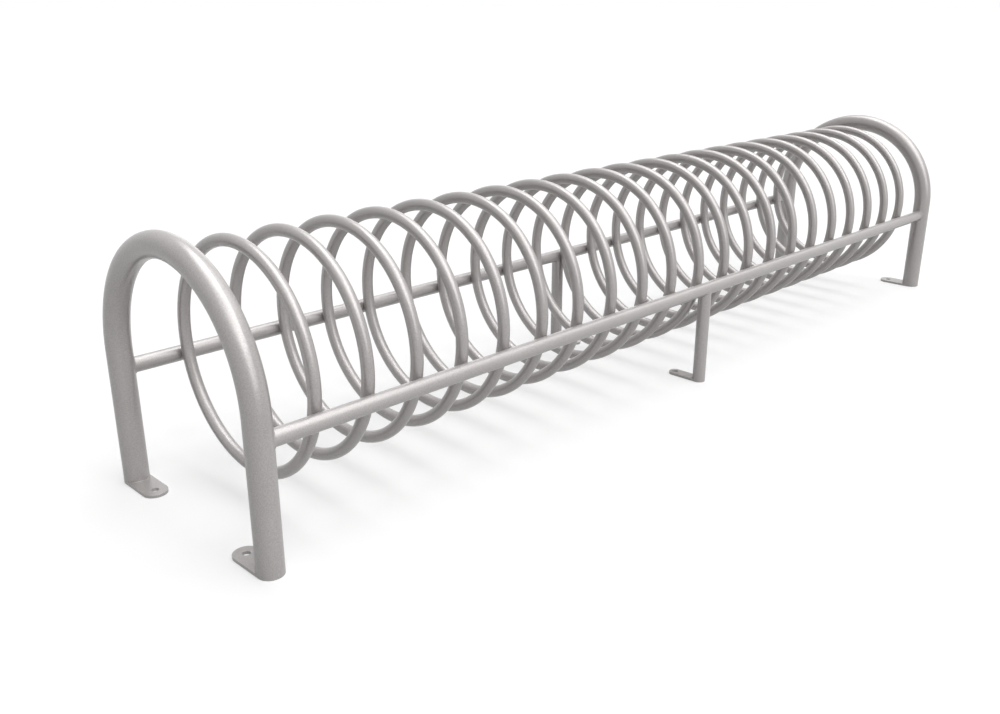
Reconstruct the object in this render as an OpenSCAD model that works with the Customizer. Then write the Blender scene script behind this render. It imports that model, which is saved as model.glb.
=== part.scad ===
// Ring bicycle rack. A row of closed tube rings stands between two side rails,
// with a bent tube hoop at each end and a pair of legs half way along.
// X runs along the rack, Y across it and Z up. The origin is on the ground
// under the middle of the rack. The near end is at negative X, the front side
// at negative Y.

/* [End hoops] */
// Distance between the centre planes of the two end hoops
hoop_spacing = 3058; // [2900:1:3400]
// Distance between the axes of a hoop's two legs
hoop_span = 588; // [560:1:640]
// Height of the top of a hoop above the ground
hoop_top = 662; // [640:1:760]
// Outer diameter of the hoop tube
hoop_tube_d = 60; // [50:1:76]
// Wall of the hoop tube
hoop_wall = 3; // [2:0.5:5]

/* [Side rails and mid legs] */
// Outer diameter of the tube of the rails and the mid legs
rail_tube_d = 38; // [30:1:44]
// Wall of the tube of the rails and the mid legs
rail_wall = 2.5; // [1.5:0.5:4]
// Height of the rail axes above the ground
rail_z = 292; // [270:1:310]

/* [Rings] */
// Number of rings in the row
ring_count = 21; // [5:2:21]
// Distance from one ring to the next along the rack
ring_pitch = 137.6; // [100:0.1:140]
// Outer diameter of the ring tube
ring_tube_d = 30; // [20:1:36]
// Wall of the ring tube
ring_wall = 2; // [1.5:0.5:4]
// Height of the ring centres above the ground
ring_z = 351; // [340:1:380]

/* [Foot plates] */
// Thickness of the foot plates
plate_t = 8; // [5:1:14]
// Distance from the axis of a hoop leg to the anchor hole of its foot plate
hoop_plate_reach = 92; // [75:1:120]
// Distance from the axis of a mid leg to the anchor hole of its foot plate
mid_plate_reach = 87; // [60:1:120]
// Diameter of the anchor holes
anchor_hole_d = 17.5; // [11:0.5:20]

/* [Welds] */
// Leg length of the fillet welds at the feet and the tube ends
weld_leg = 3; // [2:0.5:5]
// Outer diameter of the weld round the spot where a ring touches a rail
ring_weld_d = 19; // [18:1:24]
// Diameter of that weld's unfilled root
ring_weld_root_d = 8; // [6:1:10]

/* [Hidden] */
// Facets of a drawn circle, and of a circle that a thin weld depends on
$fn = 72;
fine_fn = 256;
// Amount by which a cut runs past the piece it cuts
overrun = 1;

half_spacing = hoop_spacing / 2;
half_span = hoop_span / 2;
hoop_tube_r = hoop_tube_d / 2;
rail_tube_r = rail_tube_d / 2;
ring_tube_r = ring_tube_d / 2;

// Height at which the straight legs of a hoop run into its half-round bend
bend_z = hoop_top - hoop_tube_r - half_span;

// Each ring touches both rails from within, on the line from its centre to the rail axis
seat_rise = ring_z - rail_z;
seat_distance = norm([half_span, seat_rise]);
seat_angle = atan2(seat_rise, half_span);
ring_r = seat_distance - rail_tube_r - ring_tube_r;

// The thin ears of a mid leg's saddle end are trimmed this far below the rail
// axis, and lie clear of the weld of the ring in line with the leg
ear_gap = 0.5;
ring_weld_drop = ring_weld_d / 2 * cos(seat_angle) - rail_tube_r * sin(seat_angle);
ear_trim = max(rail_tube_d / 10, ring_weld_drop + ear_gap);

first_ring_x = -(ring_count - 1) * ring_pitch / 2;

steel = "#b4b1b0";
weld_steel = "#a3a09f";

function two_digits(i) = str(i < 10 ? "0" : "", i);
function ring_name(i) = str("ring_", two_digits(i));
function ring_x(i) = first_ring_x + (i - 1) * ring_pitch;

// The factor of a quadric through the two toe lines of a fillet weld between crossing tubes
function toe_factor(run_r, branch_r) =
    ((run_r + weld_leg) ^ 2 - run_r ^ 2) / ((branch_r + weld_leg) ^ 2 - branch_r ^ 2);

// A round bar or bore along X, centred on the middle of the rack
module bar_x(d, length) {
    rotate([0, 90, 0])
        cylinder(d = d, h = length, center = true);
}

// The outer form or the bore of a hoop: two straight legs from foot_z up and a half-round bend
module hoop_form(d, foot_z) {
    for (side = [-1, 1])
        translate([0, side * half_span, foot_z])
            cylinder(d = d, h = bend_z - foot_z);
    translate([0, 0, bend_z])
        rotate([90, 0, 90])
            rotate_extrude(angle = 180)
                translate([half_span, 0])
                    circle(d = d);
}

// One bent tube hoop, standing on its two foot plates
module end_hoop(end) {
    color(steel)
        translate([end * half_spacing, 0, 0])
            difference() {
                hoop_form(hoop_tube_d, plate_t);
                hoop_form(hoop_tube_d - 2 * hoop_wall, plate_t - overrun);
            }
}

// A plate as wide as the tube that stands on it, round at both ends, with its
// anchor hole at the end that points to the middle of the rack
module foot_plate(tube_d, reach, x, side) {
    color(steel)
        translate([x, side * half_span, 0])
            rotate([0, 0, side > 0 ? 180 : 0])
                linear_extrude(plate_t)
                    difference() {
                        union() {
                            circle(d = tube_d);
                            translate([0, reach])
                                circle(d = tube_d);
                            translate([-tube_d / 2, 0])
                                square([tube_d, reach]);
                        }
                        translate([0, reach])
                            circle(d = anchor_hole_d);
                    }
}

module hoop_foot_plate(end, side) {
    foot_plate(hoop_tube_d, hoop_plate_reach, end * half_spacing, side);
}

module mid_foot_plate(side) {
    foot_plate(rail_tube_d, mid_plate_reach, 0, side);
}

// A tube from hoop to hoop, with both ends coped to the hoop legs
module rail(side) {
    color(steel)
        difference() {
            translate([0, side * half_span, rail_z])
                difference() {
                    bar_x(rail_tube_d, hoop_spacing);
                    bar_x(rail_tube_d - 2 * rail_wall, hoop_spacing + 2 * overrun);
                }
            for (end = [-1, 1])
                translate([end * half_spacing, 0, 0])
                    hoop_form(hoop_tube_d, plate_t);
        }
}

// A tube from its foot plate up to the rail, with a saddle end and trimmed ears
module mid_leg(side) {
    leg_h = rail_z - ear_trim - plate_t;
    color(steel)
        translate([0, side * half_span, 0])
            difference() {
                translate([0, 0, plate_t])
                    cylinder(d = rail_tube_d, h = leg_h);
                translate([0, 0, plate_t - overrun])
                    cylinder(d = rail_tube_d - 2 * rail_wall, h = leg_h + 2 * overrun);
                translate([0, 0, rail_z])
                    bar_x(rail_tube_d, 2 * rail_tube_d);
            }
}

// The outer form or the bore of a ring
module ring_form(d) {
    rotate([0, 90, 0])
        rotate_extrude($fn = fine_fn)
            translate([ring_r, 0])
                circle(d = d);
}

// A closed ring of tube, touching both rails from within
module ring(i) {
    color(steel)
        translate([ring_x(i), 0, ring_z])
            difference() {
                ring_form(ring_tube_d);
                ring_form(ring_tube_d - 2 * ring_wall);
            }
}

// The fillet weld on a foot plate round the inner side of its tube, which ends
// where its toe meets the plate's long sides
module foot_weld(tube_d, x, side) {
    toe_r = tube_d / 2 + weld_leg;
    half_arc = asin(tube_d / 2 / toe_r);
    color(weld_steel)
        translate([x, side * half_span, plate_t])
            rotate([0, 0, (side > 0 ? 270 : 90) - half_arc])
                rotate_extrude(angle = 2 * half_arc)
                    polygon([[tube_d / 2, 0], [toe_r, 0], [tube_d / 2, weld_leg]]);
}

module hoop_foot_welds() {
    for (end = [-1, 1], side = [-1, 1])
        foot_weld(hoop_tube_d, end * half_spacing, side);
}

module mid_foot_welds() {
    for (side = [-1, 1])
        foot_weld(rail_tube_d, 0, side);
}

// Body inside the quadric through both toe lines of the fillet weld where a
// tube along X meets an upright tube. Y is square to both
module toe_quadric(upright_r, level_r) {
    k = toe_factor(upright_r, level_r);
    c = upright_r ^ 2 + k * (level_r + weld_leg) ^ 2;
    scale([sqrt(c), sqrt(c / (1 + k)), sqrt(c / k)])
        sphere(1);
}

// The fillet weld round the coped end of a rail, where it meets a hoop leg
module rail_weld(end, side) {
    color(weld_steel)
        translate([end * half_spacing, side * half_span, rail_z])
            difference() {
                intersection() {
                    toe_quadric(hoop_tube_r, rail_tube_r, $fn = fine_fn);
                    translate([-end * hoop_tube_d, 0, 0])
                        cube(2 * hoop_tube_d, center = true);
                }
                bar_x(rail_tube_d, 4 * hoop_tube_d, $fn = fine_fn);
                cylinder(d = hoop_tube_d, h = 2 * hoop_tube_d, center = true, $fn = fine_fn);
            }
}

// The fillet weld round the saddle end of a mid leg, which stops one leg length
// below the trimmed ears
module mid_leg_weld(side) {
    top_drop = ear_trim + weld_leg;
    color(weld_steel)
        translate([0, side * half_span, rail_z])
            difference() {
                intersection() {
                    toe_quadric(rail_tube_r, rail_tube_r);
                    translate([0, 0, -top_drop - rail_tube_d])
                        cube(2 * rail_tube_d, center = true);
                }
                bar_x(rail_tube_d, 4 * rail_tube_d);
                cylinder(d = rail_tube_d, h = 4 * rail_tube_d, center = true);
            }
}

module mid_leg_welds() {
    for (side = [-1, 1])
        mid_leg_weld(side);
}

// The stretch of a ring about the spot where it touches a rail, with the
// ring's centre at the origin and that spot on the Y axis
module ring_stretch() {
    stretch = 2 * asin(ring_weld_d / ring_r);
    rotate([90, 0, 90])
        rotate([0, 0, -stretch / 2])
            rotate_extrude(angle = stretch)
                translate([ring_r, 0])
                    circle(d = ring_tube_d);
}

// The collar of weld round the spot where a ring touches a rail
module ring_weld(i, side) {
    seat_y = ring_r + ring_tube_r;
    color(weld_steel)
        translate([ring_x(i), 0, ring_z])
            rotate([-seat_angle, 0, side > 0 ? 0 : 180])
                difference() {
                    translate([0, seat_y, 0])
                        rotate([90, 0, 0])
                            difference() {
                                cylinder(d = ring_weld_d, h = ring_weld_d, center = true);
                                cylinder(d = ring_weld_root_d, h = 2 * ring_weld_d, center = true);
                            }
                    ring_stretch($fn = fine_fn);
                    translate([0, seat_y + rail_tube_r, 0])
                        bar_x(rail_tube_d, 2 * ring_weld_d, $fn = fine_fn);
                }
}

module ring_welds(side) {
    for (i = [1 : ring_count])
        ring_weld(i, side);
}

end_hoop(-1);  // near_end_hoop
end_hoop(1);  // far_end_hoop
hoop_foot_plate(-1, -1);  // near_front_foot_plate
hoop_foot_plate(-1, 1);  // near_back_foot_plate
hoop_foot_plate(1, -1);  // far_front_foot_plate
hoop_foot_plate(1, 1);  // far_back_foot_plate
rail(-1);  // front_rail
rail(1);  // back_rail
mid_leg(-1);  // front_mid_leg
mid_leg(1);  // back_mid_leg
mid_foot_plate(-1);  // front_mid_foot_plate
mid_foot_plate(1);  // back_mid_foot_plate
for (i = [1 : ring_count])
    ring(i);
hoop_foot_welds();
mid_foot_welds();
mid_leg_welds();
rail_weld(-1, -1);  // near_front_rail_weld
rail_weld(-1, 1);  // near_back_rail_weld
rail_weld(1, -1);  // far_front_rail_weld
rail_weld(1, 1);  // far_back_rail_weld
ring_welds(-1);  // front_ring_welds
ring_welds(1);  // back_ring_welds
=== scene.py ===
"""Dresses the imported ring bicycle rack: coating, foot plates, weld beads, floor, lamps and camera.

Lengths are in metres. X runs along the rack, Y across it and Z up, with the origin on the ground under its middle.
"""
import math

import bmesh
import bpy
from mathutils import Matrix, Vector


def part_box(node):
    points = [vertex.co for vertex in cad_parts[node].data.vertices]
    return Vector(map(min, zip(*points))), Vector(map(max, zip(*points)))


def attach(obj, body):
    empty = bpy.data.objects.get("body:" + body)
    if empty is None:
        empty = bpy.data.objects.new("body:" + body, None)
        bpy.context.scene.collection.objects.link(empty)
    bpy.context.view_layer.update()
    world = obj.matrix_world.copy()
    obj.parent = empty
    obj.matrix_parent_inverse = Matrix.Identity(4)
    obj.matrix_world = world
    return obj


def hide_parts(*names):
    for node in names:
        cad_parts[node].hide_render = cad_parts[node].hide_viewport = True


bl_info = {
    "name": "Ring Bicycle Rack",
    "version": (1, 0, 0),
    "blender": (4, 5, 0),
    "location": "View3D > Sidebar > Ring Rack",
    "description": "Coats the tubes, makes the foot plates and weld beads, and sets the floor, lamps and camera",
    "category": "Object",
}

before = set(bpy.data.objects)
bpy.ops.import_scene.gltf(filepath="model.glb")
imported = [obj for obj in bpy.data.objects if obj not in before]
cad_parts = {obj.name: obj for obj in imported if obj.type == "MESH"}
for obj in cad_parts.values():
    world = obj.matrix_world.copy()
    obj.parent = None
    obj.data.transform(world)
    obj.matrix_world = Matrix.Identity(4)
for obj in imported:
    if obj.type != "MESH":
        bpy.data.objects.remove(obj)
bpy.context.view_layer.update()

BODY = "root"
ENDS = {"near": -1, "far": 1}
SIDES = {"front": -1, "back": 1}
RINGS = sorted(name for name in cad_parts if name.startswith("ring_"))
FEET = {
    "hoop": ("near_front_foot_plate", "near_back_foot_plate", "far_front_foot_plate", "far_back_foot_plate"),
    "mid": ("front_mid_foot_plate", "back_mid_foot_plate"),
}
# name, azimuth from +X towards +Y and elevation, both in degrees, and strength
LAMPS = (
    ("overhead_lamp", 0, 88, 0.71),
    ("high_far_end_lamp", 45, 65, 0.84),
    ("high_front_lamp", 315, 65, 0.74),
    ("high_near_end_lamp", 225, 65, 0.22),
    ("front_lamp", 270, 45, 0.64),
    ("far_front_lamp", 300, 45, 0.39),
    ("near_front_lamp", 240, 45, 0.32),
    ("far_end_lamp", 0, 45, 0.27),
    ("low_front_lamp", 270, 25, 0.34),
    ("lowest_front_lamp", 270, 8, 0.24),
    ("lowest_end_lamp", 45, 8, 0.23),
)

# each slot and the material that fills it
COATS = {"coated_steel": "powder_coated_steel", "coated_weld": "powder_coated_weld"}
# each pattern's size in CoatSettings, its levels of detail, and the noise values at which it starts and is full
PATTERNS = {
    "fleck": ("fleck_size", 2.0, 0.3, 0.7),
    "peel": ("peel_size", 1.0, 0.2, 0.8),
    "cloud": ("cloud_size", 2.0, 0.25, 0.75),
    "scuff": ("peel_size", 3.0, 0.5, 0.62),
}
# the floor as it looks, the floor as the light bounces off it, and the background
PAPER = "fdfdfd"
BOUNCE = "808080"
WHITE = "ffffff"

SMOOTH_BELOW = math.radians(35)
SHARP_ABOVE = math.radians(40)
EDGE_SEGMENTS = 3
# the drill's length in plate thicknesses
DRILL_LENGTH = 3
# how far past the leg's axis, as a share of its radius, a plate's edge still lies under the leg
UNDER_LEG = 1 / 20
# a face is on a rounded edge if the upright share of its normal lies between these
EDGE_SLOPES = (0.1, 0.99)

BEAD_SIDES = 8
FEWEST_STEPS = 8
MERGE_WITHIN = 1e-6
# how far a bead's centre lies off each of the surfaces that it joins, as a share of its radius
BEAD_OFFSET = 0.5
# how thick an open bead is at its end and at the next steps inwards, as shares of its full thickness
RUN_OUT = (0.2, 0.45, 0.7, 0.88)
# a tube's side is followed down only to this share of its radius above its middle, where it gets too steep
LOWEST_SAG = 0.35

# the camera's sensor in millimetres, and how near and how far it sees in metres
SENSOR_WIDTH = 36
CLIP = (0.05, 1000)


def linear(code):
    """The linear colour of an sRGB hex value such as bbb7b6, by the curve of the sRGB standard."""
    parts = [int(code[i:i + 2], 16) / 255 for i in (0, 2, 4)]
    return [p / 12.92 if p <= 0.04045 else ((p + 0.055) / 1.055) ** 2.4 for p in parts] + [1.0]


def add_node(tree, kind, settings=None, links=None):
    """Adds a node, sets its inputs or properties by name, and links its inputs from other nodes' sockets.

    An input whose name is not its own, such as those of a Math node, is given by its place.
    """
    node = tree.nodes.new(kind)
    for key, value in (settings or {}).items():
        if isinstance(key, int) or key in node.inputs:
            node.inputs[key].default_value = value
        else:
            setattr(node, key, value)
    for key, socket in (links or {}).items():
        tree.links.new(socket, node.inputs[key])
    return node


def new_material(name):
    """An empty node material of that name, with its tree."""
    material = bpy.data.materials.new(name)
    material.use_nodes = True
    material.node_tree.nodes.clear()
    return material, material.node_tree


def deselect():
    """Leaves edit mode and deselects everything."""
    if bpy.context.object and bpy.context.object.mode != "OBJECT":
        bpy.ops.object.mode_set(mode="OBJECT")
    bpy.ops.object.select_all(action="DESELECT")


def pick(piece):
    """Selects this piece alone and makes it the active one."""
    deselect()
    piece.select_set(True)
    bpy.context.view_layer.objects.active = piece


def select_where(test, of="verts"):
    """In edit mode, selects only the vertices, edges or faces for which the test holds."""
    bpy.ops.mesh.select_all(action="DESELECT")
    bpy.ops.mesh.select_mode(type={"verts": "VERT", "edges": "EDGE", "faces": "FACE"}[of])
    mesh = bmesh.from_edit_mesh(bpy.context.object.data)
    for element in getattr(mesh, of):
        if test(element):
            element.select_set(True)
    bmesh.update_edit_mesh(bpy.context.object.data)


def apply_modifier(piece, kind, **settings):
    """Adds a modifier with these settings to a piece and applies it."""
    bpy.context.view_layer.objects.active = piece
    modifier = piece.modifiers.new(kind.lower(), kind)
    for key, value in settings.items():
        setattr(modifier, key, value)
    bpy.ops.object.modifier_apply(modifier=modifier.name)


def laid(piece, places):
    """The piece itself at the first of the places, and a copy of it with its own mesh at each of the others."""
    pieces = [piece]
    for _ in places[1:]:
        pick(piece)
        bpy.ops.object.duplicate()
        pieces.append(bpy.context.object)
    for each, place in zip(pieces, places):
        each.matrix_world = place
    return pieces


def joined(pieces):
    """One object from several."""
    deselect()
    for piece in pieces:
        piece.select_set(True)
    bpy.context.view_layer.objects.active = pieces[0]
    bpy.ops.object.join()
    return bpy.context.object


def facing(along, upward, at):
    """The placing that turns local X to along and local Z to upward, and moves the origin to at."""
    x, z = Vector(along).normalized(), Vector(upward).normalized()
    return Matrix.Translation(at) @ Matrix((x, z.cross(x), z)).transposed().to_4x4()


def seat(piece, name, slot, *nodes):
    """Names a finished piece, puts its place in its mesh, coats it and has it stand for its CAD nodes."""
    piece.name = name
    piece.data.name = name
    pick(piece)
    bpy.ops.object.transform_apply(location=True, rotation=True, scale=True)
    bpy.ops.object.shade_smooth_by_angle(angle=SMOOTH_BELOW)
    piece.data.materials.clear()
    piece.data.materials.append(bpy.data.materials[COATS[slot]])
    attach(piece, BODY)
    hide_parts(*nodes)


class CoatSettings(bpy.types.PropertyGroup):
    """The powder coating on the tubes, plates and welds."""
    colour: bpy.props.FloatVectorProperty(
        name="Coat colour", description="Colour of the coating, linear",
        size=4, subtype="COLOR", min=0, max=1, default=linear("bbb7b6"))
    fleck: bpy.props.FloatVectorProperty(
        name="Fleck colour", description="Colour of the darker flecks in the coating, linear",
        size=4, subtype="COLOR", min=0, max=1, default=linear("aaa6a5"))
    fleck_size: bpy.props.FloatProperty(
        name="Fleck size", description="Size at which the flecks in the coating are drawn",
        unit="LENGTH", subtype="DISTANCE", min=0.0005, max=0.01, default=0.0025)
    peel_size: bpy.props.FloatProperty(
        name="Orange peel size", description="Width of the waves in the baked coating",
        unit="LENGTH", subtype="DISTANCE", min=0.001, max=0.02, default=0.006)
    cloud_size: bpy.props.FloatProperty(
        name="Cloud size", description="Width of the patches where the coating is thicker or thinner",
        unit="LENGTH", subtype="DISTANCE", min=0.02, max=0.5, default=0.09)
    roughness: bpy.props.FloatProperty(
        name="Roughness", description="Roughness of the satin coating",
        subtype="FACTOR", min=0, max=1, default=0.31)
    uneven: bpy.props.FloatProperty(
        name="Uneven", description="How far the roughness strays up and down from one patch to the next",
        subtype="FACTOR", min=0, max=0.2, default=0.03)
    relief: bpy.props.FloatProperty(
        name="Relief", description="Height of the waves and flecks that the coating's bumps are drawn with",
        unit="LENGTH", subtype="DISTANCE", min=0, max=0.001, default=0.0002)
    peel_strength: bpy.props.FloatProperty(
        name="Orange peel strength", description="Share of the relief that the waves show",
        subtype="FACTOR", min=0, max=1, default=0.1)
    fleck_strength: bpy.props.FloatProperty(
        name="Fleck strength", description="Share of the relief that the flecks show",
        subtype="FACTOR", min=0, max=1, default=0.25)
    haze: bpy.props.FloatProperty(
        name="Haze", description="Share of the worn colour in the patches where the coating is thinnest",
        subtype="FACTOR", min=0, max=1, default=0.12)
    worn: bpy.props.FloatVectorProperty(
        name="Worn colour", description="Colour of the zinc that shows through on worn edges, linear",
        size=4, subtype="COLOR", min=0, max=1, default=linear("c4c3c1"))
    metallic: bpy.props.FloatProperty(
        name="Metallic", description="Share of the coating that shines as metal does",
        subtype="FACTOR", min=0, max=1, default=0.35)


class PlateSettings(bpy.types.PropertyGroup):
    """The foot plates."""
    edge: bpy.props.FloatProperty(
        name="Edge round", description="Radius to which the edges of the plates are worn and coated",
        unit="LENGTH", subtype="DISTANCE", min=0.0002, max=0.003, default=0.0008)
    hole: bpy.props.FloatProperty(
        name="Anchor hole", description="Diameter of the anchor holes",
        unit="LENGTH", subtype="DISTANCE", min=0.008, max=0.02, default=0.0175)
    facets: bpy.props.IntProperty(
        name="Facets", description="Sides of the plates' round ends, counted over a full turn",
        min=24, max=256, default=96)


class WeldSettings(bpy.types.PropertyGroup):
    """The weld beads."""
    leg: bpy.props.FloatProperty(
        name="Weld leg", description="How far a bead reaches along each of the surfaces it joins",
        unit="LENGTH", subtype="DISTANCE", min=0.001, max=0.005, default=0.002)
    ripple: bpy.props.FloatProperty(
        name="Ripple", description="Distance from one ripple of a bead to the next",
        unit="LENGTH", subtype="DISTANCE", min=0.001, max=0.005, default=0.0024)
    swell: bpy.props.FloatProperty(
        name="Swell", description="Height of the ripples",
        unit="LENGTH", subtype="DISTANCE", min=0, max=0.001, default=0.00015)
    foot_sweep: bpy.props.FloatProperty(
        name="Foot sweep", description="How far the bead on a foot plate runs round its leg",
        unit="ROTATION", subtype="ANGLE", min=0.5, max=2.3, default=math.radians(104))
    spot: bpy.props.FloatProperty(
        name="Spot width", description="Outer diameter of the bead round the spot where a ring touches a rail",
        unit="LENGTH", subtype="DISTANCE", min=0.014, max=0.024, default=0.019)


class StageSettings(bpy.types.PropertyGroup):
    """The floor, the surroundings and the lamps."""
    floor_size: bpy.props.FloatProperty(
        name="Floor size", description="Side of the square floor",
        unit="LENGTH", subtype="DISTANCE", min=10, max=1000, default=400)
    floor_glow: bpy.props.FloatProperty(
        name="Floor glow", description="Share of plain white in the floor, which thins the shadow on it",
        subtype="FACTOR", min=0, max=1, default=0.5)
    ambient: bpy.props.FloatProperty(
        name="Ambient", description="Strength of the even light from all round",
        min=0, max=2, default=0.0)
    lamp_width: bpy.props.FloatProperty(
        name="Lamp width", description="Width of each lamp as seen from the rack, which softens its highlights",
        unit="ROTATION", subtype="ANGLE", min=0, max=3, default=math.radians(36))


class CameraSettings(bpy.types.PropertyGroup):
    """The camera, from the photograph's viewing angle."""
    place: bpy.props.FloatVectorProperty(
        name="Place", description="Place of the camera",
        size=3, unit="LENGTH", subtype="TRANSLATION", default=(-2.420954, -1.840890, 1.092374))
    heading: bpy.props.FloatProperty(
        name="Heading", description="Angle of the view from +Y towards +X",
        unit="ROTATION", subtype="ANGLE", default=0.787681)
    dip: bpy.props.FloatProperty(
        name="Dip", description="Angle of the view below level",
        unit="ROTATION", subtype="ANGLE", default=0.347179)
    roll: bpy.props.FloatProperty(
        name="Roll", description="Turn of the camera about its view",
        unit="ROTATION", subtype="ANGLE", default=-0.000357)
    lens: bpy.props.FloatProperty(
        name="Lens", description="Focal length on a sensor 36 mm wide",
        unit="CAMERA", min=10, max=200, default=35.1785)


def blend(tree, factor, first, second):
    """A colour that goes from first to second with the factor. Each of them is a colour or a socket."""
    mix = add_node(tree, "ShaderNodeMix", {"data_type": "RGBA"})
    tree.links.new(factor, mix.inputs["Factor"])
    for value, socket in zip((first, second), [i for i in mix.inputs if i.type == "RGBA"]):
        if isinstance(value, bpy.types.NodeSocket):
            tree.links.new(value, socket)
        else:
            socket.default_value = tuple(value)
    return next(o for o in mix.outputs if o.type == "RGBA")


def powder_coat(name, settings, roughness):
    """Polyester powder coat with aluminium flakes, sprayed on zinc-coated steel tube and baked.

    The eye gets a satin metal sheen with a soft highlight along each tube, a fine grain from the flakes, a faint
    orange peel, and a slight cloudiness where the coat is thinner. Edges that are bumped show the zinc here and
    there. The real flakes are some 0.05 mm across and too fine to show, so they are drawn as coarse as they need.
    The roughness is 0.28 or more everywhere, because the denoised render shows a thin line wherever it falls
    through about 0.275.
    """
    material, tree = new_material(name)
    place = add_node(tree, "ShaderNodeTexCoord").outputs["Object"]

    def pattern(size, detail, low, high):
        noise = add_node(tree, "ShaderNodeTexNoise", {"Scale": 1 / getattr(settings, size), "Detail": detail},
                         {"Vector": place})
        return add_node(tree, "ShaderNodeMapRange",
                        {"interpolation_type": "SMOOTHSTEP", "From Min": low, "From Max": high},
                        {"Value": noise.outputs["Fac"]}).outputs["Result"]

    fleck, peel, cloud, scuff = (pattern(*values) for values in PATTERNS.values())
    flecked = blend(tree, fleck, settings.fleck, settings.colour)
    thin = add_node(tree, "ShaderNodeMath", {"operation": "MULTIPLY", 1: settings.haze}, {0: cloud}).outputs[0]
    hazed = blend(tree, thin, flecked, settings.worn)
    edge = add_node(tree, "ShaderNodeAttribute", {"attribute_name": "worn_edge"}).outputs["Fac"]
    bare = add_node(tree, "ShaderNodeMath", {"operation": "MULTIPLY"}, {0: edge, 1: scuff}).outputs[0]
    colour = blend(tree, bare, hazed, settings.worn)
    shine = add_node(tree, "ShaderNodeMapRange",
                     {"To Min": roughness - settings.uneven, "To Max": roughness + settings.uneven},
                     {"Value": cloud}).outputs["Result"]
    waves = add_node(tree, "ShaderNodeBump", {"Strength": settings.peel_strength, "Distance": settings.relief},
                     {"Height": peel})
    grain = add_node(tree, "ShaderNodeBump", {"Strength": settings.fleck_strength, "Distance": settings.relief},
                     {"Height": fleck, "Normal": waves.outputs["Normal"]})
    coat = add_node(tree, "ShaderNodeBsdfPrincipled", {"Metallic": settings.metallic},
                    {"Base Color": colour, "Roughness": shine, "Normal": grain.outputs["Normal"]})
    add_node(tree, "ShaderNodeOutputMaterial", {}, {"Surface": coat.outputs["BSDF"]})
    return material


def background_rays(tree):
    """A socket that is 1 for the rays that show the background: from the camera, a reflection or a clear body."""
    path = add_node(tree, "ShaderNodeLightPath")
    total = path.outputs["Is Camera Ray"]
    for kind in ("Is Glossy Ray", "Is Transmission Ray"):
        total = add_node(tree, "ShaderNodeMath", {"operation": "ADD", "use_clamp": True},
                         {0: total, 1: path.outputs[kind]}).outputs[0]
    return total


def matt_paper(settings):
    """Matt white paper, rolled out smooth, which gives the eye an even white with no gloss and a soft shadow.

    A share of plain white thins the shadow, and the light that bounces off on to the rack is a mid-grey floor's.
    """
    material, tree = new_material("matt_paper")
    white = add_node(tree, "ShaderNodeBsdfDiffuse", {"Color": linear(PAPER)})
    grey = add_node(tree, "ShaderNodeBsdfDiffuse", {"Color": linear(BOUNCE)})
    glow = add_node(tree, "ShaderNodeEmission", {"Color": linear(WHITE), "Strength": 1.0})
    shown = add_node(tree, "ShaderNodeMixShader", {"Fac": settings.floor_glow},
                     {1: white.outputs[0], 2: glow.outputs[0]})
    both = add_node(tree, "ShaderNodeMixShader", {},
                    {"Fac": background_rays(tree), 1: grey.outputs[0], 2: shown.outputs[0]})
    add_node(tree, "ShaderNodeOutputMaterial", {}, {"Surface": both.outputs[0]})
    return material


class RACK_OT_coat_tubes(bpy.types.Operator):
    """Gives the hoops, rails, legs and rings their coating"""
    bl_idname = "rack.coat_tubes"
    bl_label = "Coat the tubes"

    def execute(self, context):
        settings = context.scene.rack_coat
        coat = powder_coat(COATS["coated_steel"], settings, settings.roughness)
        powder_coat(COATS["coated_weld"], settings, settings.roughness + settings.uneven)
        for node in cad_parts.values():
            node.data.materials.clear()
            node.data.materials.append(coat)
        return {"FINISHED"}


def feet(group):
    """The radius, reach from leg to hole and thickness of a group's plates, and the placing of each leg's axis.

    In a placing, +Y points from the leg to the hole.
    """
    low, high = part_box(FEET[group][0])
    width, length, thick = high - low
    places = []
    for node in FEET[group]:
        low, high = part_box(node)
        front = low.y + high.y < 0
        leg_y = low.y + width / 2 if front else high.y - width / 2
        places.append(Matrix.Translation(((low.x + high.x) / 2, leg_y, 0))
                      @ Matrix.Rotation(0 if front else math.pi, 4, "Z"))
    return width / 2, length - width, thick, places


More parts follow.
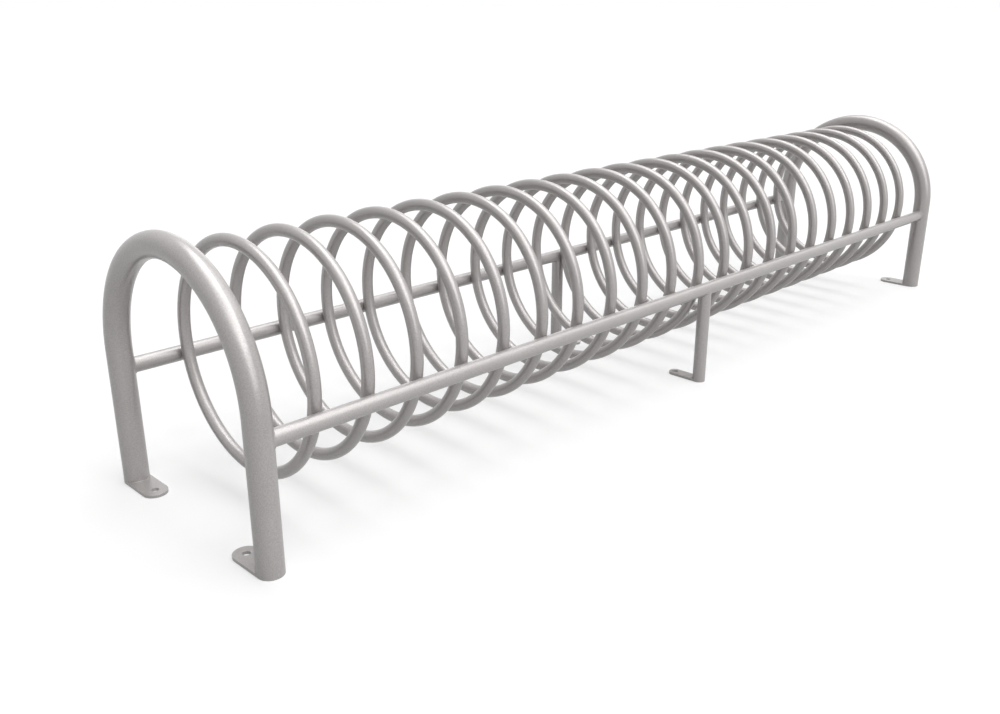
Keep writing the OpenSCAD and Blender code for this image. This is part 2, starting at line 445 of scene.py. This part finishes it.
class RACK_OT_foot_plates(bpy.types.Operator):
    """Makes the six foot plates, with rounded edges and a drilled anchor hole each"""
    bl_idname = "rack.foot_plates"
    bl_label = "Make the foot plates"

    def execute(self, context):
        settings = context.scene.rack_plates
        for group, nodes in FEET.items():
            radius, reach, thick, places = feet(group)
            deselect()
            bpy.ops.mesh.primitive_cylinder_add(
                vertices=settings.facets, radius=radius, depth=thick, location=(0, 0, thick / 2))
            plate = context.object
            bpy.ops.object.transform_apply(location=True)
            bpy.ops.object.mode_set(mode="EDIT")
            bpy.ops.mesh.select_all(action="SELECT")
            bpy.ops.mesh.bisect(plane_co=(0, 0, 0), plane_no=(0, 1, 0))
            select_where(lambda face: face.calc_center_median().y > 0, "faces")
            bpy.ops.mesh.extrude_region_move(TRANSFORM_OT_translate={"value": (0, reach, 0)})
            deselect()
            bpy.ops.mesh.primitive_cylinder_add(
                vertices=settings.facets, radius=settings.hole / 2, depth=DRILL_LENGTH * thick,
                location=(0, reach, thick / 2))
            drill = context.object
            apply_modifier(plate, "BOOLEAN", operation="DIFFERENCE", object=drill, solver="EXACT")
            pick(drill)
            bpy.ops.object.delete()

            def open_edge(edge):
                centre = (edge.verts[0].co + edge.verts[1].co) / 2
                under_leg = centre.z > thick / 2 and centre.y < radius * UNDER_LEG
                return edge.calc_face_angle() > SHARP_ABOVE and not under_leg

            context.view_layer.objects.active = plate
            bpy.ops.object.mode_set(mode="EDIT")
            select_where(open_edge, "edges")
            bpy.ops.transform.edge_bevelweight(value=1)
            bpy.ops.object.mode_set(mode="OBJECT")
            apply_modifier(plate, "BEVEL", width=settings.edge, segments=EDGE_SEGMENTS, limit_method="WEIGHT")
            worn = plate.data.attributes.new("worn_edge", "FLOAT", "FACE")
            for face in plate.data.polygons:
                worn.data[face.index].value = float(EDGE_SLOPES[0] < abs(face.normal.z) < EDGE_SLOPES[1])
            for node, piece in zip(nodes, laid(plate, places)):
                seat(piece, f"{node}_edged", "coated_steel", node)
                apply_modifier(piece, "WEIGHTED_NORMAL", keep_sharp=True)
        return {"FINISHED"}


def bead_radius(settings):
    """The radius of a bead that reaches one weld leg along each of the two surfaces."""
    return settings.leg / (1 + BEAD_OFFSET)


def bead(major, minor, sweep, saddle, settings):
    """A rippled bead round the Z axis, swept evenly to both sides of +X, with its height given by saddle(x, y).

    It lies in the corner between a tube along Z and the surface below it, and an open bead runs out into that corner
    at both ends. It starts at its left end, because spin turns clockwise as seen from above.
    """
    steps = max(FEWEST_STEPS, 2 * round(major * sweep / settings.ripple))
    whole = math.isclose(sweep, 2 * math.pi)
    deselect()
    bpy.ops.mesh.primitive_circle_add(
        vertices=BEAD_SIDES, radius=minor, fill_type="NOTHING" if whole else "NGON",
        location=(major * math.cos(sweep / 2), major * math.sin(sweep / 2), 0),
        rotation=(math.pi / 2, 0, sweep / 2))
    piece = bpy.context.object
    bpy.ops.object.transform_apply(location=True, rotation=True)
    bpy.ops.object.mode_set(mode="EDIT")
    bpy.ops.mesh.select_all(action="SELECT")
    bpy.ops.mesh.spin(steps=steps, angle=sweep, center=(0, 0, 0), axis=(0, 0, 1))
    bpy.ops.mesh.select_all(action="SELECT")
    bpy.ops.mesh.remove_doubles(threshold=MERGE_WITHIN)
    bpy.ops.mesh.normals_make_consistent(inside=False)

    def step_at(vertex):
        return round((math.atan2(vertex.co.y, vertex.co.x) / sweep + 0.5) * steps)

    select_where(lambda vertex: step_at(vertex) % 2 == 1)
    bpy.ops.transform.shrink_fatten(value=settings.swell)
    if not whole:
        corner = major - minor * BEAD_OFFSET
        for step, share in enumerate(RUN_OUT):
            for end in (step, steps - step):
                angle = (end / steps - 0.5) * sweep
                select_where(lambda vertex: step_at(vertex) == end)
                bpy.ops.transform.resize(
                    value=(share, share, share),
                    center_override=(corner * math.cos(angle), corner * math.sin(angle), -minor * BEAD_OFFSET))
    mesh = bmesh.from_edit_mesh(piece.data)
    for vertex in mesh.verts:
        vertex.co.z += saddle(vertex.co.x, vertex.co.y)
    bmesh.update_edit_mesh(piece.data)
    bpy.ops.object.mode_set(mode="OBJECT")
    return piece


def sag(radius, across):
    """How far a round tube's surface falls away at this distance to the side of its crest."""
    return radius - math.sqrt(max(radius ** 2 - across ** 2, (LOWEST_SAG * radius) ** 2))


class RACK_OT_foot_welds(bpy.types.Operator):
    """Lays the beads on the foot plates, round the inner sides of the legs"""
    bl_idname = "rack.foot_welds"
    bl_label = "Weld the feet"

    def execute(self, context):
        settings = context.scene.rack_welds
        minor = bead_radius(settings)
        for group in FEET:
            radius, _, thick, places = feet(group)
            piece = bead(radius + minor * BEAD_OFFSET, minor, settings.foot_sweep, lambda x, y: 0, settings)
            inner = facing((0, 1, 0), (0, 0, 1), (0, 0, thick + minor * BEAD_OFFSET))
            beads = laid(piece, [place @ inner for place in places])
            seat(joined(beads), f"{group}_foot_beads", "coated_weld", f"{group}_foot_welds")
        return {"FINISHED"}


class RACK_OT_tube_welds(bpy.types.Operator):
    """Lays the beads where the rails end on the hoops and the mid legs end under the rails"""
    bl_idname = "rack.tube_welds"
    bl_label = "Weld the tubes"

    def execute(self, context):
        settings = context.scene.rack_welds
        minor = bead_radius(settings)
        off = minor * BEAD_OFFSET
        rail_low, rail_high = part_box("front_rail")
        rail_r, rail_z = (rail_high.z - rail_low.z) / 2, (rail_low.z + rail_high.z) / 2
        rail_y = {side: sum(corner.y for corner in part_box(f"{side}_rail")) / 2 for side in SIDES}
        hoop_low, hoop_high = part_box("far_end_hoop")
        hoop_r, hoop_x = (hoop_high.x - hoop_low.x) / 2, (hoop_low.x + hoop_high.x) / 2
        leg_low, leg_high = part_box("front_mid_leg")
        leg_r, stop = (leg_high.x - leg_low.x) / 2, rail_z - leg_high.z + settings.leg

        ends = {(end, side): facing((0, 1, 0), (-way, 0, 0), (way * (hoop_x - hoop_r - off), rail_y[side], rail_z))
                for side in SIDES for end, way in ENDS.items()}
        ring = bead(rail_r + off, minor, 2 * math.pi, lambda x, y: -sag(hoop_r, x), settings)
        for (end, side), piece in zip(ends, laid(ring, list(ends.values()))):
            seat(piece, f"{end}_{side}_rail_bead", "coated_weld", f"{end}_{side}_rail_weld")

        # each bead stops where the rail's side is one weld leg below the highest point of the leg's rim
        sweep = 2 * math.asin(math.sqrt(rail_r ** 2 - stop ** 2) / leg_r)
        saddle = bead(leg_r + off, minor, sweep, lambda x, y: -sag(rail_r, y), settings)
        places = [facing((way, 0, 0), (0, 0, -1), (0, rail_y[side], rail_z - rail_r - off))
                  for side in SIDES for way in ENDS.values()]
        seat(joined(laid(saddle, places)), "mid_leg_beads", "coated_weld", "mid_leg_welds")
        return {"FINISHED"}


class RACK_OT_ring_welds(bpy.types.Operator):
    """Lays the bead round each spot where a ring touches a rail"""
    bl_idname = "rack.ring_welds"
    bl_label = "Weld the rings"

    def execute(self, context):
        settings = context.scene.rack_welds
        minor = settings.leg / 2
        low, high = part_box(RINGS[0])
        tube_r, outer_r = (high.x - low.x) / 2, (high.z - low.z) / 2
        first = (low + high) / 2
        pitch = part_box(RINGS[1])[0].x - low.x
        rails = [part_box(f"{side}_rail") for side in SIDES]
        rail_r = (rails[0][1].z - rails[0][0].z) / 2

        def between(x, y):
            return (sag(rail_r, y) - sag(tube_r, x) - sag(outer_r, y)) / 2

        places = []
        for low, high in rails:
            toward = Vector((0, (low.y + high.y) / 2, (low.z + high.z) / 2 - first.z)).normalized()
            places.append(facing((1, 0, 0), toward, first + outer_r * toward))
        spot = bead(settings.spot / 2 - minor, minor, 2 * math.pi, between, settings)
        for side, piece in zip(SIDES, laid(spot, places)):
            pick(piece)
            bpy.ops.object.transform_apply(location=True, rotation=True)
            apply_modifier(piece, "ARRAY", count=len(RINGS), use_relative_offset=False, use_constant_offset=True,
                           constant_offset_displace=(pitch, 0, 0))
            seat(piece, f"{side}_ring_beads", "coated_weld", f"{side}_ring_welds")
        return {"FINISHED"}


class RACK_OT_stage(bpy.types.Operator):
    """Makes the floor, the surroundings and the lamps"""
    bl_idname = "rack.stage"
    bl_label = "Set the stage"

    def execute(self, context):
        settings = context.scene.rack_stage
        deselect()
        bpy.ops.mesh.primitive_plane_add(size=settings.floor_size)
        floor = context.object
        floor.name = "floor"
        floor.data.materials.append(matt_paper(settings))

        world = bpy.data.worlds.new("surroundings")
        context.scene.world = world
        world.use_nodes = True
        tree = world.node_tree
        tree.nodes.clear()
        even = add_node(tree, "ShaderNodeBackground", {"Color": linear(WHITE), "Strength": settings.ambient})
        white = add_node(tree, "ShaderNodeBackground", {"Color": linear(WHITE), "Strength": 1.0})
        both = add_node(tree, "ShaderNodeMixShader", {},
                        {"Fac": background_rays(tree), 1: even.outputs[0], 2: white.outputs[0]})
        add_node(tree, "ShaderNodeOutputWorld", {}, {"Surface": both.outputs[0]})

        for name, azimuth, elevation, strength in LAMPS:
            deselect()
            bpy.ops.object.light_add(type="SUN")
            lamp = context.object
            lamp.name = name
            lamp.data.energy = strength
            lamp.data.angle = settings.lamp_width
            a, e = math.radians(azimuth), math.radians(elevation)
            toward = Vector((math.cos(a) * math.cos(e), math.sin(a) * math.cos(e), math.sin(e)))
            lamp.rotation_mode = "QUATERNION"
            lamp.rotation_quaternion = toward.to_track_quat("Z", "Y")
        context.scene.view_settings.view_transform = "Standard"
        return {"FINISHED"}


class RACK_OT_camera(bpy.types.Operator):
    """Sets the camera at the photograph's viewing angle"""
    bl_idname = "rack.camera"
    bl_label = "Set the camera"

    def execute(self, context):
        settings = context.scene.rack_camera
        deselect()
        bpy.ops.object.camera_add()
        camera = context.object
        camera.name = "camera"
        camera.data.sensor_fit = "HORIZONTAL"
        camera.data.sensor_width = SENSOR_WIDTH
        camera.data.lens = settings.lens
        camera.data.clip_start, camera.data.clip_end = CLIP
        turn, dip, roll = settings.heading, settings.dip, settings.roll
        forward = Vector((math.sin(turn) * math.cos(dip), math.cos(turn) * math.cos(dip), -math.sin(dip)))
        level = Vector((math.cos(turn), -math.sin(turn), 0))
        upright = level.cross(forward)
        right = math.cos(roll) * level + math.sin(roll) * upright
        up = math.cos(roll) * upright - math.sin(roll) * level
        turned = Matrix((right, up, -forward)).transposed().to_4x4()
        camera.matrix_world = Matrix.Translation(settings.place) @ turned
        context.scene.camera = camera
        return {"FINISHED"}


class RACK_PT_panel(bpy.types.Panel):
    """Lists the steps that dress the rack"""
    bl_label = "Ring Rack"
    bl_idname = "RACK_PT_panel"
    bl_space_type = "VIEW_3D"
    bl_region_type = "UI"
    bl_category = "Ring Rack"

    def draw(self, context):
        for step in OPERATORS:
            self.layout.operator(step.bl_idname)


SETTINGS = {
    "rack_coat": CoatSettings, "rack_plates": PlateSettings, "rack_welds": WeldSettings,
    "rack_stage": StageSettings, "rack_camera": CameraSettings}
OPERATORS = (
    RACK_OT_camera, RACK_OT_stage, RACK_OT_coat_tubes, RACK_OT_foot_plates,
    RACK_OT_foot_welds, RACK_OT_tube_welds, RACK_OT_ring_welds)


def register():
    for group in SETTINGS.values():
        bpy.utils.register_class(group)
    for name, group in SETTINGS.items():
        setattr(bpy.types.Scene, name, bpy.props.PointerProperty(type=group))
    for step in OPERATORS:
        bpy.utils.register_class(step)
    bpy.utils.register_class(RACK_PT_panel)


def unregister():
    bpy.utils.unregister_class(RACK_PT_panel)
    for step in reversed(OPERATORS):
        bpy.utils.unregister_class(step)
    for name in SETTINGS:
        delattr(bpy.types.Scene, name)
    for group in reversed(SETTINGS.values()):
        bpy.utils.unregister_class(group)


def main():
    register()
    bpy.ops.rack.camera()
    bpy.ops.rack.stage()
    bpy.ops.rack.coat_tubes()
    bpy.ops.rack.foot_plates()
    bpy.ops.rack.foot_welds()
    bpy.ops.rack.tube_welds()
    bpy.ops.rack.ring_welds()


if __name__ == "__main__":
    main()
